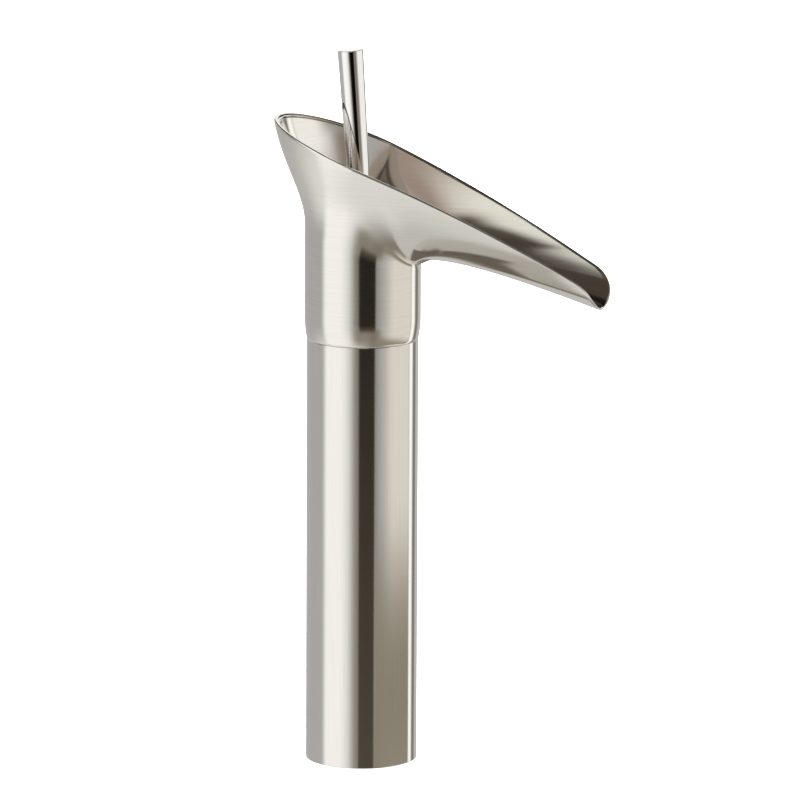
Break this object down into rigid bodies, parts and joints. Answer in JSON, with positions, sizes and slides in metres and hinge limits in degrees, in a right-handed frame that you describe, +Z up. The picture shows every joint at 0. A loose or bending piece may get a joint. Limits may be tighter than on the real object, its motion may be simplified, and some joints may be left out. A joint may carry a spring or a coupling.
{
  "type": "waterfall basin faucet",
  "caption": "Tall deck-mounted basin faucet with a round column, an open trough spout that flares from the neck, and a joystick handle standing in its bowl.",
  "frame": {"origin": "on the column's axis, in the plane of the face that stands on the deck", "axes": "+Z up along the column, +X along the spout towards its lip, +Y to the left of the spout"},
  "size_m": [0.1503, 0.0727, 0.3222],
  "materials": {
    "satin_nickel": "satin nickel plating",
    "polished_chrome": "polished",
    "brass": "machined",
    "rubber": "matt",
    "copper_tube": "drawn",
    "stainless_steel": "turned",
    "white_plastic": "moulded",
    "ceramic": "lapped ceramic"
  },
  "bodies": {
    "faucet_body": {"column_sleeve": "satin_nickel", "base_block": "brass", "base_gasket": "rubber", "base_side_seal": "rubber", "hot_riser_tube": "copper_tube", "cold_riser_tube": "copper_tube", "riser_seals": "rubber", "tie_rod": "stainless_steel", "tie_rod_washer": "stainless_steel", "tie_rod_nut": "brass", "head_casting": "satin_nickel", "head_spigot_seal": "rubber", "cartridge_housing": "white_plastic", "cartridge_base": "white_plastic", "cartridge_port_seals": "rubber", "fixed_ceramic_disc": "ceramic", "turret_seal": "rubber", "thrust_washer": "white_plastic", "cartridge_retaining_nut": "brass", "trim_dome": "polished_chrome"},
    "turret": {"stem_turret": "white_plastic", "stem_hinge_pin": "stainless_steel"},
    "lever": {"joystick_stem": "stainless_steel", "handle_rod": "polished_chrome", "handle_grub_screw": "stainless_steel"},
    "disc": {"moving_ceramic_disc": "ceramic", "disc_carrier": "white_plastic"}
  },
  "joints": [
    {"name": "temperature_turn", "type": "hinge", "parent": "faucet_body", "child": "turret", "pos_m": [0, 0, 0.235], "axis": [0, 0, 1], "range_deg": [-45, 45]},
    {"name": "lever_tilt", "type": "hinge", "parent": "turret", "child": "lever", "pos_m": [0, 0, 0.235], "axis": [0, 1, 0], "range_deg": [0, 20]},
    {"name": "disc_slide", "type": "slide", "parent": "turret", "child": "disc", "axis": [1, 0, 0], "range_m": [-0.006, 0]}
  ],
  "couplings": [
    {"joint": "disc_slide", "follows": "lever_tilt", "m_per_rad": -0.01692}
  ]
}
